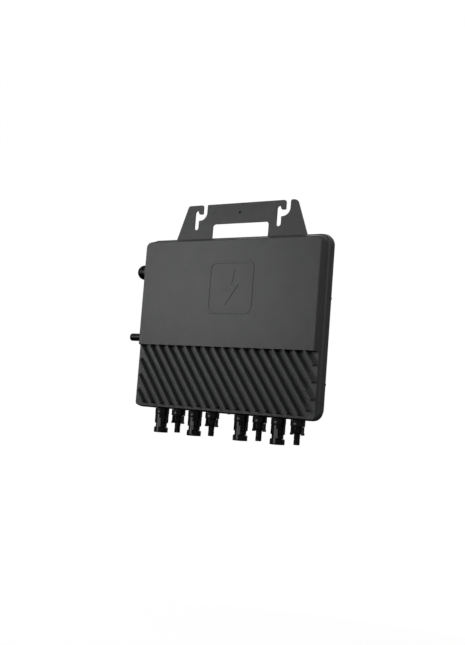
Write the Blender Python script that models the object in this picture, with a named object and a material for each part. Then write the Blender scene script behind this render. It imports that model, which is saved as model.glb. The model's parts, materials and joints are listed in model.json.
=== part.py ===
"""A wall and rail mounted micro inverter, modelled as the separate pieces it is assembled from.

Units are metres, +Z is up and the front of the case faces -Y. Shapes are written in the case's own
coordinates: x = 0 on the case's centre line, y = 0 on the back face of the hanging bracket, z = 0 at
the bottom of the case. An empty then moves everything down, so that the world origin lies on the
bracket's back face, at the point named RAIL_FACE_Z above the case's bottom.
"""
import math

import bmesh
import bpy
from mathutils import Matrix, Vector

# ---------------------------------------------------------------- driving dimensions
CASE_WIDTH = 0.281
CASE_HEIGHT = 0.2292
FRONT_Y = -0.029            # the flat upper front panel
RIB_PANEL_Y = -0.02135      # the recessed panel that carries the cooling ribs
FLANGE_BACK_Y = -0.0052
COVER_BACK_Y = 0.012
RAIL_FACE_Z = 0.2565        # height of the world origin above the case's bottom
GAP = 0.0003                # clearance between pieces that touch
WALL = 0.003

STEP_TOP_Z = 0.0840         # where the front panel ends in a step back to the rib panel
STEP_FOOT_Z = 0.0832

RIB_PITCH = 0.01485         # along x
RIB_SLOPE = 0.72            # x moved per unit of height, going down
RIB_FIRST, RIB_LAST = -12, 8
RIB_ZERO_X = 0.0020         # where rib number 0 meets the front panel
RIB_END_LEFT, RIB_END_RIGHT = -0.1311, 0.1318
RIB_END_Z = 0.0084
RIB_CORNER, RIB_CORNER_END_Z = 5, 0.0140    # the rib that runs into the lower right corner
RIB_START_RISE = 0.0020     # how far a rib's centre line starts above the step's top edge
RIB_ROUND_STEPS = 4
RIB_LOW_REACH = 0.0027       # keeps a rib's lower end nearly square to the panel
RIB_CONTOURS = (            # half width, height, and how far the outline runs past the upper end
    (0.0034, -0.0003, 0.0032),
    (0.0028, 0.0003, 0.0027),
    (0.0022, 0.0030, 0.0016),
    (0.0015, 0.0068, 0.0002),
    (0.0007, 0.00755, 0.0),
)

CAVITY_HALF = 0.131
CAVITY_BOTTOM, CAVITY_TOP = 0.008, 0.214

PLATE_THICK = 0.002
PLATE_BOTTOM_Z, PLATE_BASE_Z, PLATE_TOP_Z = 0.2145, 0.2292, 0.2768
PLATE_LEFT_X, PLATE_RIGHT_X = -0.1047, 0.0996       # at the height PLATE_BASE_Z
PLATE_FLARE = 0.0036        # how far each side has moved out at the plate's lower corner
MOUTH_LEFT_X, MOUTH_RIGHT_X = -0.0636, -0.0567      # the left hook slot's way in
BAY_LEFT_X, BAY_RIGHT_X = -0.0764, -0.0696          # and the bay in which the bolt rests
SLOT_SHIFT = 0.129          # from the left hook slot to the right one
WINDOW_LEFT_X, WINDOW_RIGHT_X = -0.0462, 0.0415
WINDOW_LOW_Z, WINDOW_TOP_Z = 0.2288, 0.2498
EARTH_HOLE = (-0.0033, 0.2637)
EARTH_HOLE_RADIUS, EARTH_HOLE_SKIN = 0.0022, 0.0004

CONNECTOR_Y = -0.0115
CONNECTOR_PITCH = 0.02715
CONNECTOR_GROUPS = (-0.0977, 0.0285)
NECK_RADIUS = 0.0046
SHELL_RADIUS, WAIST_RADIUS = 0.0092, 0.0075
COLLAR_RADIUS = 0.0090
COLLAR_TOP_Z, COLLAR_FOOT_Z = -0.0003, -0.0078
SOCKET_TIP_Z, PLUG_TIP_Z = -0.0320, -0.0302
CONTACT_TOP_Z = 0.0125
ARM_OFFSET = 0.0072         # from the plug's axis to the middle of a latch arm
ARM_TOP_Z, ARM_TIP_Z = -0.0082, -0.0182

PORT_Y = -0.015
BOSS_END_X = -0.1402        # the flat bosses that the left side's fittings sit on
LENS_X = 0.0088
AC_PORT_Z, AC_CAP_RADIUS = 0.1836, 0.0100
STUB_Z, STUB_RADIUS, STUB_END_X = 0.0938, 0.00515, -0.1588

BOARD_Y = -0.0075
BOARD_THICK = 0.0016
ROUND_STEPS = 20

# ---------------------------------------------------------------- materials
COLOURS = {
    "case_paint": ((0.046, 0.047, 0.048), 0.55, 0.0),
    "bracket_paint": ((0.040, 0.041, 0.042), 0.50, 0.0),
    "black_plastic": ((0.012, 0.012, 0.013), 0.38, 0.0),
    "rubber": ((0.015, 0.015, 0.015), 0.80, 0.0),
    "plated_contact": ((0.72, 0.70, 0.66), 0.28, 1.0),
    "screw_steel": ((0.10, 0.10, 0.105), 0.40, 0.9),
    "board_green": ((0.03, 0.16, 0.07), 0.50, 0.0),
    "ferrite": ((0.07, 0.07, 0.075), 0.60, 0.0),
    "winding": ((0.55, 0.24, 0.08), 0.35, 0.8),
    "capacitor_film": ((0.10, 0.13, 0.32), 0.45, 0.0),
    "lens": ((0.75, 0.80, 0.78), 0.20, 0.0),
}


def material(name):
    """The named Principled material, made the first time that it is asked for."""
    found = bpy.data.materials.get(name)
    if found:
        return found
    colour, roughness, metallic = COLOURS[name]
    made = bpy.data.materials.new(name)
    made.use_nodes = True
    shader = made.node_tree.nodes["Principled BSDF"]
    shader.inputs["Base Color"].default_value = (*colour, 1.0)
    shader.inputs["Roughness"].default_value = roughness
    shader.inputs["Metallic"].default_value = metallic
    return made


# ---------------------------------------------------------------- modelling helpers
def new_object(name, mesh_data, slot=None, place=(0, 0, 0)):
    """Links a mesh as an object under the case's empty; without a slot it is a hidden cutter."""
    obj = bpy.data.objects.new(name, mesh_data)
    bpy.context.scene.collection.objects.link(obj)
    obj.location = place
    obj.parent = case_frame
    if slot is None:
        obj.hide_render = True
        obj.display_type = "WIRE"
    else:
        mesh_data.materials.clear()
        mesh_data.materials.append(material(slot))
    return obj


def mesh_from(name, bm, smooth_angle=40):
    """Closes a bmesh into a mesh with outward faces, smooth except over sharp edges."""
    bmesh.ops.recalc_face_normals(bm, faces=bm.faces)
    data = bpy.data.meshes.new(name)
    bm.to_mesh(data)
    bm.free()
    data.shade_smooth()
    data.set_sharp_from_angle(angle=math.radians(smooth_angle))
    return data


def loft(name, rings):
    """A solid through rings of equally many points, closed with a face at each end."""
    bm = bmesh.new()
    loops = [[bm.verts.new(p) for p in ring] for ring in rings]
    count = len(loops[0])
    for low, high in zip(loops, loops[1:]):
        for i in range(count):
            j = (i + 1) % count
            bm.faces.new((low[i], low[j], high[j], high[i]))
    bm.faces.new(loops[0])
    bm.faces.new(reversed(loops[-1]))
    return mesh_from(name, bm)


def rounded_outline(left, right, low, high, radius, y, steps=5):
    """Points round a rectangle with round corners, in the plane at this y."""
    centres = [
        (right - radius, high - radius, 0),
        (left + radius, high - radius, 90),
        (left + radius, low + radius, 180),
        (right - radius, low + radius, 270),
    ]
    points = []
    for cx, cz, start in centres:
        for i in range(steps + 1):
            a = math.radians(start + 90 * i / steps)
            points.append((cx + radius * math.cos(a), y, cz + radius * math.sin(a)))
    return points


def prism(name, outline, thickness_from, thickness_to, axis="y"):
    """A flat outline of (x, z) points swept along y, or of (y, z) points swept along x."""
    def place(p, t):
        return (p[0], t, p[1]) if axis == "y" else (t, p[0], p[1])

    rings = [[place(p, t) for p in outline] for t in (thickness_from, thickness_to)]
    return loft(name, rings)


def box(name, low, high, bevel=0.0):
    """A box between two corners, its edges cut back by bevel."""
    bm = bmesh.new()
    bmesh.ops.create_cube(bm, size=1.0)
    size = Vector(high) - Vector(low)
    middle = (Vector(high) + Vector(low)) / 2
    bmesh.ops.scale(bm, vec=size, verts=bm.verts)
    bmesh.ops.translate(bm, vec=middle, verts=bm.verts)
    if bevel:
        bmesh.ops.bevel(bm, geom=bm.edges[:], offset=bevel, segments=2, affect="EDGES")
    return mesh_from(name, bm)


def turned(name, profile, axis="z", steps=ROUND_STEPS):
    """A turned solid. The profile is a closed loop of (radius, height); radius 0 lies on the axis."""
    bm = bmesh.new()
    columns = []
    for radius, height in profile:
        if radius == 0:
            columns.append([bm.verts.new((0, 0, height))])
            continue
        ring = []
        for i in range(steps):
            a = 2 * math.pi * i / steps
            ring.append(bm.verts.new((radius * math.cos(a), radius * math.sin(a), height)))
        columns.append(ring)
    pairs = list(zip(columns, columns[1:] + columns[:1]))
    for one, two in pairs:
        if len(one) == 1 and len(two) == 1:
            continue
        for i in range(steps):
            j = (i + 1) % steps
            corners = [one[i % len(one)], one[j % len(one)], two[j % len(two)], two[i % len(two)]]
            unique = list(dict.fromkeys(corners))
            bm.faces.new(unique)
    if axis == "x":
        bmesh.ops.rotate(bm, verts=bm.verts, cent=(0, 0, 0), matrix=Matrix.Rotation(math.pi / 2, 3, "Y"))
    if axis == "y":
        bmesh.ops.rotate(bm, verts=bm.verts, cent=(0, 0, 0), matrix=Matrix.Rotation(-math.pi / 2, 3, "X"))
    return mesh_from(name, bm, 35)


def rod(name, radius, start, end, axis="z", steps=ROUND_STEPS):
    """A plain round bar between two places on its axis."""
    return turned(name, [(0, start), (radius, start), (radius, end), (0, end)], axis, steps)


def joined(name, meshes):
    """One mesh that holds several closed shapes, used only as a cutter or an addition."""
    bm = bmesh.new()
    for data in meshes:
        bm.from_mesh(data)
        bpy.data.meshes.remove(data)
    return mesh_from(name, bm)


def boolean(obj, tool, operation="DIFFERENCE"):
    """Leaves a live Boolean on obj."""
    modifier = obj.modifiers.new(tool.name, "BOOLEAN")
    modifier.operation = operation
    modifier.object = tool
    return obj


def cut(obj, name, meshes):
    return boolean(obj, new_object(name, joined(name, meshes)))


def moved(data, offset):
    data.transform(Matrix.Translation(offset))
    return data


# ---------------------------------------------------------------- the die-cast case
def case_outline(y, side, top, bottom, radius):
    half = CASE_WIDTH / 2 - side
    return rounded_outline(-half, half, bottom, CASE_HEIGHT - top, radius, y)


def rib(index):
    """One thin slanted cooling rib, built as stacked outlines that narrow towards its crest."""
    x_at_step = RIB_ZERO_X + index * RIB_PITCH

    def height_at(x):
        return STEP_TOP_Z - (x - x_at_step) / RIB_SLOPE

    def centre_at(z):
        return Vector((x_at_step + RIB_SLOPE * (STEP_TOP_Z - z), RIB_PANEL_Y, z))

    starts_at_step = x_at_step > RIB_END_LEFT
    top = centre_at(STEP_TOP_Z + RIB_START_RISE if starts_at_step else height_at(RIB_END_LEFT))
    low = centre_at(RIB_CORNER_END_Z if index == RIB_CORNER else max(RIB_END_Z, height_at(RIB_END_RIGHT)))
    down = (low - top).normalized()
    across = Vector((-down.z, 0, down.x))
    rings = []
    for half, height, reach in RIB_CONTOURS:
        ring = []
        low_reach = RIB_LOW_REACH - half * 0.87
        for centre, sign, past in ((low, 1, low_reach), (top, -1, reach)):
            for i in range(RIB_ROUND_STEPS + 1):
                a = math.pi * i / RIB_ROUND_STEPS
                offset = across * half * math.cos(a) + down * (half * math.sin(a) + past)
                ring.append(centre + offset * sign + Vector((0, -height, 0)))
        rings.append(ring)
    return loft("rib", rings)


def front_housing():
    rings = [
        case_outline(FLANGE_BACK_Y, 0.0004, 0.0004, 0.0004, 0.0146),
        case_outline(-0.0062, 0.0, 0.0, 0.0, 0.0150),
        case_outline(-0.0144, 0.0010, 0.0012, 0.0, 0.0140),
        case_outline(-0.0165, 0.0027, 0.0030, 0.0002, 0.0120),
        case_outline(-0.0280, 0.0058, 0.0064, 0.0050, 0.0070),
        case_outline(FRONT_Y, 0.0066, 0.0073, 0.0056, 0.0062),
    ]
    housing = new_object("front_housing", loft("front_housing", rings), "case_paint")

    far = 0.16
    front = FRONT_Y - 0.002
    recess = [
        (front, STEP_TOP_Z + 0.001),
        (FRONT_Y, STEP_TOP_Z),
        (RIB_PANEL_Y, STEP_FOOT_Z),
        (RIB_PANEL_Y, -0.01),
        (front, -0.01),
    ]
    cut(housing, "rib_recess", [prism("recess", recess, -far, far, axis="x")])

    ribs = joined("ribs", [rib(i) for i in range(RIB_FIRST, RIB_LAST + 1)])
    boolean(housing, new_object("ribs", ribs), "UNION")

    inside_front = FRONT_Y + WALL
    inside_ribs = RIB_PANEL_Y + WALL
    open_end = FLANGE_BACK_Y + 0.003
    upper = rounded_outline(-CAVITY_HALF, CAVITY_HALF, 0.0875, CAVITY_TOP, 0.006, inside_front)
    upper_back = [(x, open_end, z) for x, _, z in upper]
    lower = rounded_outline(-CAVITY_HALF, CAVITY_HALF, CAVITY_BOTTOM, 0.095, 0.006, inside_ribs)
    lower_back = [(x, open_end, z) for x, _, z in lower]
    cut(housing, "upper_cavity", [loft("upper", [upper, upper_back])])
    cut(housing, "lower_cavity", [loft("lower", [lower, lower_back])])

    posts = []
    for x, z, depth in board_post_places():
        posts.append(moved(rod("post", 0.004, depth - 0.001, BOARD_Y - GAP, "y", 12), (x, 0, z)))
    boolean(housing, new_object("board_posts", joined("board_posts", posts)), "UNION")

    bosses = [
        moved(rod("boss", 0.0090, BOSS_END_X, -CAVITY_HALF - 0.001, "x"), (0, PORT_Y, AC_PORT_Z)),
        moved(rod("boss", 0.0058, BOSS_END_X, -CAVITY_HALF - 0.001, "x"), (0, PORT_Y, STUB_Z)),
    ]
    boolean(housing, new_object("side_bosses", joined("side_bosses", bosses)), "UNION")

    holes = []
    for x in connector_places():
        holes.append(moved(rod("hole", NECK_RADIUS + GAP, -0.004, 0.012), (x, CONNECTOR_Y, 0)))
    cut(housing, "connector_holes", holes)

    side = [
        moved(rod("ac_hole", 0.0072 + GAP, -0.15, -0.125, "x"), (0, PORT_Y, AC_PORT_Z)),
        moved(rod("stub_hole", 0.0035 + GAP, -0.15, -0.125, "x"), (0, PORT_Y, STUB_Z)),
        moved(rod("lens_hole", 0.0020 + GAP, -0.004, 0.012), (LENS_X, CONNECTOR_Y, 0)),
    ]
    cut(housing, "side_holes", side)

    threads = []
    for x, z in bracket_screw_places() + cover_screw_places():
        threads.append(moved(rod("thread", 0.0016 + GAP, -0.0118, 0.0, "y", 12), (x, 0, z)))
    cut(housing, "screw_holes", threads)
    return housing


def connector_places():
    return [start + i * CONNECTOR_PITCH for start in CONNECTOR_GROUPS for i in range(4)]


def bracket_screw_places():
    return [(x, 0.2215) for x in (-0.092, -0.054, 0.054, 0.092)]


def cover_screw_places():
    sides = [(s * 0.1354, z) for s in (-1, 1) for z in (0.045, 0.150)]
    return sides + [(-0.120, 0.0042), (LENS_X + 0.011, 0.0042)]


def board_post_places():
    upper = [(x, z, FRONT_Y + WALL) for x in (-0.121, 0.121) for z in (0.098, 0.203)]
    lower = [(x, 0.030, RIB_PANEL_Y + WALL) for x in (-0.121, 0.121)]
    return upper + lower


# ---------------------------------------------------------------- rear cover and gasket
def cover_gasket():
    front, back = FLANGE_BACK_Y + GAP, FLANGE_BACK_Y + 0.0009
    half = CASE_WIDTH / 2 - 0.0012
    outer = [rounded_outline(-half, half, 0.0010, 0.2285, 0.0138, y) for y in (front, back)]
    gasket = new_object("cover_gasket", loft("cover_gasket", outer), "rubber")
    inner = [rounded_outline(-CAVITY_HALF, CAVITY_HALF, CAVITY_BOTTOM, CAVITY_TOP, 0.006, y)
             for y in (front - 0.001, back + 0.001)]
    cut(gasket, "gasket_window", [loft("window", inner)])
    holes = [moved(rod("hole", 0.0022, -0.008, 0.0, "y", 12), (x, 0, z))
             for x, z in bracket_screw_places() + cover_screw_places()]
    cut(gasket, "gasket_holes", holes)
    return gasket


def rear_cover():
    """A pressed lid: a flat rim on the gasket and a shallow pan behind it."""
    front = FLANGE_BACK_Y + 0.0012
    rim_back = front + 0.0017
    half = CASE_WIDTH / 2 - 0.0012
    rim = [rounded_outline(-half, half, 0.0010, 0.2285, 0.0138, y) for y in (front, rim_back)]
    cover = new_object("rear_cover", loft("rear_cover", rim), "case_paint")

    def pan(y, inset, radius):
        return rounded_outline(-0.126 + inset, 0.126 - inset, 0.013 + inset, 0.209 - inset, radius, y)

    outside = [pan(front + 0.0008, 0.0, 0.010), pan(0.009, 0.0030, 0.010), pan(0.0112, 0.0045, 0.009),
               pan(COVER_BACK_Y, 0.0065, 0.008)]
    inside = [pan(front - 0.001, 0.0018, 0.009), pan(0.0085, 0.0048, 0.008), pan(0.0102, 0.0068, 0.007)]
    boolean(cover, new_object("pan_outside", loft("pan_outside", outside)), "UNION")
    cut(cover, "pan_inside", [loft("pan_inside", inside)])
    holes = [moved(rod("hole", 0.0022, -0.006, 0.0, "y", 12), (x, 0, z))
             for x, z in bracket_screw_places() + cover_screw_places()]
    cut(cover, "rim_holes", holes)
    return cover


# ---------------------------------------------------------------- hanging bracket
def arc(cx, cz, radius, start, end, steps):
    """Points on an arc, by angle in degrees."""
    points = []
    for i in range(steps + 1):
        a = math.radians(start + (end - start) * i / steps)
        points.append((cx + radius * math.cos(a), cz + radius * math.sin(a)))
    return points


def slot_outline():
    """The left hook slot: in from the top edge, round to the left, then down a narrow bay."""
    above = PLATE_TOP_Z + 0.003
    bay_radius = (BAY_RIGHT_X - BAY_LEFT_X) / 2
    bay_middle = (BAY_LEFT_X + BAY_RIGHT_X) / 2
    sweep = 0.01085
    points = [(MOUTH_RIGHT_X, above)]
    points += arc(MOUTH_RIGHT_X - sweep, 0.2667, sweep, -5, -85, 7)
    points += [(BAY_RIGHT_X, 0.2556)]
    points += arc(bay_middle, 0.2464, bay_radius, 0, -180, 8)
    points += arc(BAY_LEFT_X + 0.0034, 0.2660, 0.0034, 180, 60, 5)
    points += arc(-0.0655, 0.2690, 0.0056, 190, 235, 4)
    points += arc(MOUTH_LEFT_X - 0.0008, 0.2653, 0.0008, -90, 0, 3)
    points += [(MOUTH_LEFT_X, above)]
    return points


def plate_outline():
    """The bracket without its slots: sloping sides and rounded upper corners."""
    top = PLATE_TOP_Z
    below_corners = top - 0.005
    mouth_left, mouth_right = MOUTH_LEFT_X + SLOT_SHIFT, MOUTH_RIGHT_X + SLOT_SHIFT
    flare_z = PLATE_BOTTOM_Z + 0.004
    points = [(PLATE_LEFT_X - PLATE_FLARE, flare_z), (PLATE_LEFT_X, PLATE_BASE_Z)]
    points += arc(-0.0850, top - 0.0040, 0.0040, 160, 90, 4)
    points += arc(MOUTH_LEFT_X - 0.0026, top - 0.0026, 0.0026, 90, 0, 3)
    points += [(MOUTH_LEFT_X, below_corners), (MOUTH_RIGHT_X, below_corners)]
    points += arc(MOUTH_RIGHT_X + 0.0010, top - 0.0010, 0.0010, 180, 90, 2)
    points += arc(mouth_left - 0.0032, top - 0.0032, 0.0032, 90, 0, 3)
    points += [(mouth_left, below_corners), (mouth_right, below_corners)]
    points += arc(mouth_right + 0.0022, top - 0.0022, 0.0022, 180, 90, 3)
    points += arc(0.0773, top - 0.0065, 0.0065, 80, 20, 4)
    points += [(PLATE_RIGHT_X, PLATE_BASE_Z), (PLATE_RIGHT_X + PLATE_FLARE, flare_z)]
    points += [(PLATE_RIGHT_X, PLATE_BOTTOM_Z), (PLATE_LEFT_X, PLATE_BOTTOM_Z)]
    return points


def mounting_bracket():
    plate = prism("mounting_bracket", plate_outline(), -PLATE_THICK, 0.0)
    bracket = new_object("mounting_bracket", plate, "bracket_paint")

    through = (-PLATE_THICK - 0.002, 0.002)
    left = slot_outline()
    right = [(x + SLOT_SHIFT, z) for x, z in left]
    cut(bracket, "hook_slots", [prism("slot", left, *through), prism("slot", right, *through)])
    window = rounded_outline(WINDOW_LEFT_X, WINDOW_RIGHT_X, WINDOW_LOW_Z, WINDOW_TOP_Z, 0.0042, 0)
    window = [(x, z) for x, _, z in window]
    cut(bracket, "handle_window", [prism("window", window, *through)])
    earth = rod("earth", EARTH_HOLE_RADIUS, -PLATE_THICK - 0.002, -EARTH_HOLE_SKIN, "y", 16)
    holes = [moved(earth, (EARTH_HOLE[0], 0, EARTH_HOLE[1]))]
    for x, z in bracket_screw_places():
        holes.append(moved(rod("hole", 0.0022, *through, "y", 12), (x, 0, z)))
    cut(bracket, "bracket_holes", holes)
    return bracket


# ---------------------------------------------------------------- screws
def screw(name, x, z, seat_y, end_y):
    """A pan head machine screw that goes in from behind, along -Y."""
    head = 0.0036
    profile = [(0, end_y), (0.0016, end_y), (0.0016, seat_y + GAP), (head, seat_y + GAP),
               (head, seat_y + 0.0016), (head * 0.75, seat_y + 0.0024), (0, seat_y + 0.0026)]
    return new_object(name, turned(name, profile, "y", 12), "screw_steel", (x, 0, z))


def fasteners():
    for i, (x, z) in enumerate(bracket_screw_places(), 1):
        screw(f"bracket_screw_{i}", x, z, 0.0, -0.0112)
    for i, (x, z) in enumerate(cover_screw_places(), 1):
        screw(f"cover_screw_{i}", x, z, FLANGE_BACK_Y + 0.0029, -0.0112)


# ---------------------------------------------------------------- direct current connectors
def socket_shell(name, x):
    """The wide shell: a round socket with two side windows that another plug's arms snap into."""
    inner, pin, edge = 0.0062, 0.0022, 0.0005
    neck_top = CONTACT_TOP_Z - 0.0015
    profile = [
        (pin, neck_top), (NECK_RADIUS, neck_top), (NECK_RADIUS, COLLAR_TOP_Z),
        (SHELL_RADIUS - edge, COLLAR_TOP_Z), (SHELL_RADIUS, COLLAR_TOP_Z - edge),
        (SHELL_RADIUS, -0.0192), (WAIST_RADIUS, -0.0204), (WAIST_RADIUS, -0.0246),
        (SHELL_RADIUS, -0.0258), (SHELL_RADIUS, SOCKET_TIP_Z + edge), (SHELL_RADIUS - edge, SOCKET_TIP_Z),
        (inner, SOCKET_TIP_Z), (inner, -0.0150), (pin, -0.0150),
    ]
    shell = new_object(name, turned(name, profile), "black_plastic", (x, CONNECTOR_Y, 0))
    low, high = (-0.0014, -0.0035, -0.0188), (0.0014, 0.0035, -0.0098)
    recesses = [moved(box("recess", low, high), (side * 0.0094, 0, 0)) for side in (-1, 1)]
    tool = new_object(name + "_windows", joined(name + "_windows", recesses), place=(x, CONNECTOR_Y, 0))
    return boolean(shell, tool)


def plug_body(name, x):
    """The narrow plug: a collar, a short root and a slim tube. Its two latch arms are separate."""
    root, tube, bore = 0.0052, 0.0037, 0.0023
    profile = [
        (bore, CONTACT_TOP_Z - 0.0015), (NECK_RADIUS, CONTACT_TOP_Z - 0.0015), (NECK_RADIUS, COLLAR_TOP_Z),
        (COLLAR_RADIUS - 0.0005, COLLAR_TOP_Z), (COLLAR_RADIUS, COLLAR_TOP_Z - 0.0005),
        (COLLAR_RADIUS, COLLAR_FOOT_Z), (root, COLLAR_FOOT_Z), (root, -0.0130), (tube, -0.0140),
        (tube, PLUG_TIP_Z + 0.0003), (tube - 0.0003, PLUG_TIP_Z), (bore, PLUG_TIP_Z),
    ]
    return new_object(name, turned(name, profile), "black_plastic", (x, CONNECTOR_Y, 0))


def pin_contact(name, x):
    """The solid pin inside a wide shell, kept well back from the mouth."""
    profile = [(0, CONTACT_TOP_Z), (0.0019, CONTACT_TOP_Z), (0.0019, -0.0214), (0.0012, -0.0226), (0, -0.0230)]
    return new_object(name, turned(name, profile, steps=16), "plated_contact", (x, CONNECTOR_Y, 0))


def tube_contact(name, x):
    """The hollow contact inside a narrow plug, bored from its tip."""
    tip = PLUG_TIP_Z + 0.0008
    profile = [(0, CONTACT_TOP_Z), (0.0020, CONTACT_TOP_Z), (0.0020, tip), (0.0015, tip),
               (0.0015, -0.0160), (0, -0.0160)]
    return new_object(name, turned(name, profile, steps=16), "plated_contact", (x, CONNECTOR_Y, 0))


def latch_arm(name, x, side):
    """One springy latch arm. Its origin is on the axis that it flexes about, at its top."""
    thick, wide = 0.0009, 0.0027
    length = ARM_TOP_Z - ARM_TIP_Z
    outline = [
        (-thick, 0.0), (-thick, -length + 0.0004), (-thick * 0.4, -length),
        (thick + 0.0006, -length + 0.0002), (thick + 0.0009, -length + 0.0016),
        (thick, -length + 0.0034), (thick, 0.0),
    ]
    outline = [(side * u, h) for u, h in outline]
    data = prism(name, outline, -wide, wide)
    return new_object(name, data, "black_plastic", (x + side * ARM_OFFSET, CONNECTOR_Y, ARM_TOP_Z))


def locknut(name, x):
    """A thin hexagonal nut that clamps a connector's neck from inside the case."""
    low, high = CAVITY_BOTTOM + GAP, CAVITY_BOTTOM + 0.0026
    outer, inner = 0.0064, NECK_RADIUS + GAP
    bm = bmesh.new()
    rings = []
    for radius, z in ((inner, low), (outer, low), (outer, high), (inner, high)):
        ring = []
        for i in range(ROUND_STEPS):
            a = 2 * math.pi * i / ROUND_STEPS
            face = (a + math.pi / 6) % (math.pi / 3) - math.pi / 6
            reach = radius * math.cos(math.pi / 6) / math.cos(face) if radius == outer else radius
            ring.append(bm.verts.new((reach * math.cos(a), reach * math.sin(a), z)))
        rings.append(ring)
    for one, two in zip(rings, rings[1:] + rings[:1]):
        for i in range(ROUND_STEPS):
            j = (i + 1) % ROUND_STEPS
            bm.faces.new((one[i], one[j], two[j], two[i]))
    return new_object(name, mesh_from(name, bm), "screw_steel", (x, CONNECTOR_Y, 0))


def connectors():
    for i, x in enumerate(connector_places()):
        pair = i // 2 + 1
        if i % 2 == 0:
            socket_shell(f"dc_socket_{pair}", x)
            pin_contact(f"dc_pin_{pair}", x)
        else:
            plug_body(f"dc_plug_{pair}", x)
            tube_contact(f"dc_contact_{pair}", x)
            latch_arm(f"latch_arm_{pair}_left", x, -1)
            latch_arm(f"latch_arm_{pair}_right", x, 1)
        locknut(f"dc_locknut_{i + 1}", x)


# ---------------------------------------------------------------- left side fittings
def side_fittings():
    inner_end = -0.127
    flange = 0.0092
    case_side = -CASE_WIDTH / 2
    profile = [
        (0.0045, inner_end), (0.0072, inner_end), (0.0072, BOSS_END_X - GAP),
        (flange, BOSS_END_X - GAP), (flange, case_side - 0.0022), (0.0064, case_side - 0.0022),
        (0.0064, case_side - 0.0062), (0.0045, case_side - 0.0062),
    ]
    new_object("ac_port", turned("ac_port", profile, "x"), "black_plastic", (0, PORT_Y, AC_PORT_Z))

    middle = -0.1447
    dome = [(AC_CAP_RADIUS * math.cos(a), middle - AC_CAP_RADIUS * math.sin(a))
            for a in [math.radians(90 * i / 8) for i in range(8)]]
    cap_open = case_side - 0.0025
    profile = [(AC_CAP_RADIUS, cap_open)] + dome + [(0, middle - AC_CAP_RADIUS)]
    profile += [(0, case_side - 0.0066), (0.0068, case_side - 0.0066), (0.0068, cap_open)]
    new_object("ac_port_cap", turned("ac_port_cap", profile, "x"), "black_plastic", (0, PORT_Y, AC_PORT_Z))

    end, edge = STUB_END_X, 0.0016
    profile = [(0, inner_end), (0.0035, inner_end), (0.0035, BOSS_END_X - GAP), (STUB_RADIUS, BOSS_END_X - GAP),
               (STUB_RADIUS, end + edge), (STUB_RADIUS - edge * 0.3, end + edge * 0.3),
               (STUB_RADIUS - edge, end), (0, end)]
    new_object("antenna_stub", turned("antenna_stub", profile, "x"), "black_plastic", (0, PORT_Y, STUB_Z))

    lens = [(0, -0.0006), (0.0014, -0.0006), (0.0020, 0.0), (0.0020, CAVITY_BOTTOM + 0.001),
            (0, CAVITY_BOTTOM + 0.001)]
    new_object("status_lens", turned("status_lens", lens, steps=16), "lens", (LENS_X, CONNECTOR_Y, 0))


# ---------------------------------------------------------------- electronics
def electronics():
    back = BOARD_Y + BOARD_THICK
    outline = [(x, z) for x, _, z in rounded_outline(-0.1285, 0.1285, 0.0175, 0.2115, 0.003, 0, 2)]
    new_object("main_board", prism("main_board", outline, BOARD_Y, back), "board_green")

    front = BOARD_Y - GAP
    for i in range(4):
        x = -0.084 + i * 0.056
        low, high = (x - 0.016, front - 0.0150, 0.1200), (x + 0.016, front, 0.1520)
        core = new_object(f"transformer_{i + 1}", box("core", low, high, 0.001), "ferrite")
        middle = ((low[0] + high[0]) / 2, 0, (low[2] + high[2]) / 2)
        boolean(core, new_object(f"winding_{i + 1}", moved(
            rod("winding", 0.0185, front - 0.0125, front - 0.0025, "y"), (middle[0], 0, middle[2])),
        ), "UNION")

    toroid = [(0.006, 0.001), (0.0145, 0.001), (0.0155, 0.003), (0.0155, 0.010), (0.0145, 0.012),
              (0.006, 0.012), (0.005, 0.010), (0.005, 0.003)]
    data = turned("filter_choke", [(r, front - h) for r, h in toroid], "y")
    new_object("filter_choke", data, "winding", (-0.095, 0, 0.183))

    low, high = (-0.040, front - 0.0140, 0.172), (0.020, front, 0.192)
    new_object("bulk_capacitor", box("bulk_capacitor", low, high, 0.0015), "capacitor_film")
    low, high = (0.050, front - 0.0130, 0.170), (0.080, front, 0.186)
    new_object("output_relay", box("output_relay", low, high, 0.0006), "black_plastic")


# ---------------------------------------------------------------- the whole object
for existing in list(bpy.data.objects):
    bpy.data.objects.remove(existing)

case_frame = bpy.data.objects.new("case_frame", None)
case_frame.location = (0, 0, -RAIL_FACE_Z)
bpy.context.scene.collection.objects.link(case_frame)

front_housing()
cover_gasket()
rear_cover()
mounting_bracket()
fasteners()
connectors()
side_fittings()
electronics()
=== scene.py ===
"""Looks of the rail-mounted micro inverter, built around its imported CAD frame.

Everything is in metres in the frame's axes: +X to the right seen from the front, -Y out of the ribbed
front, +Z up. Heights written as `up(z)` are measured from the bottom of the case.
"""
import json
import math

import bmesh
import bpy
from mathutils import Matrix, Vector


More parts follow.
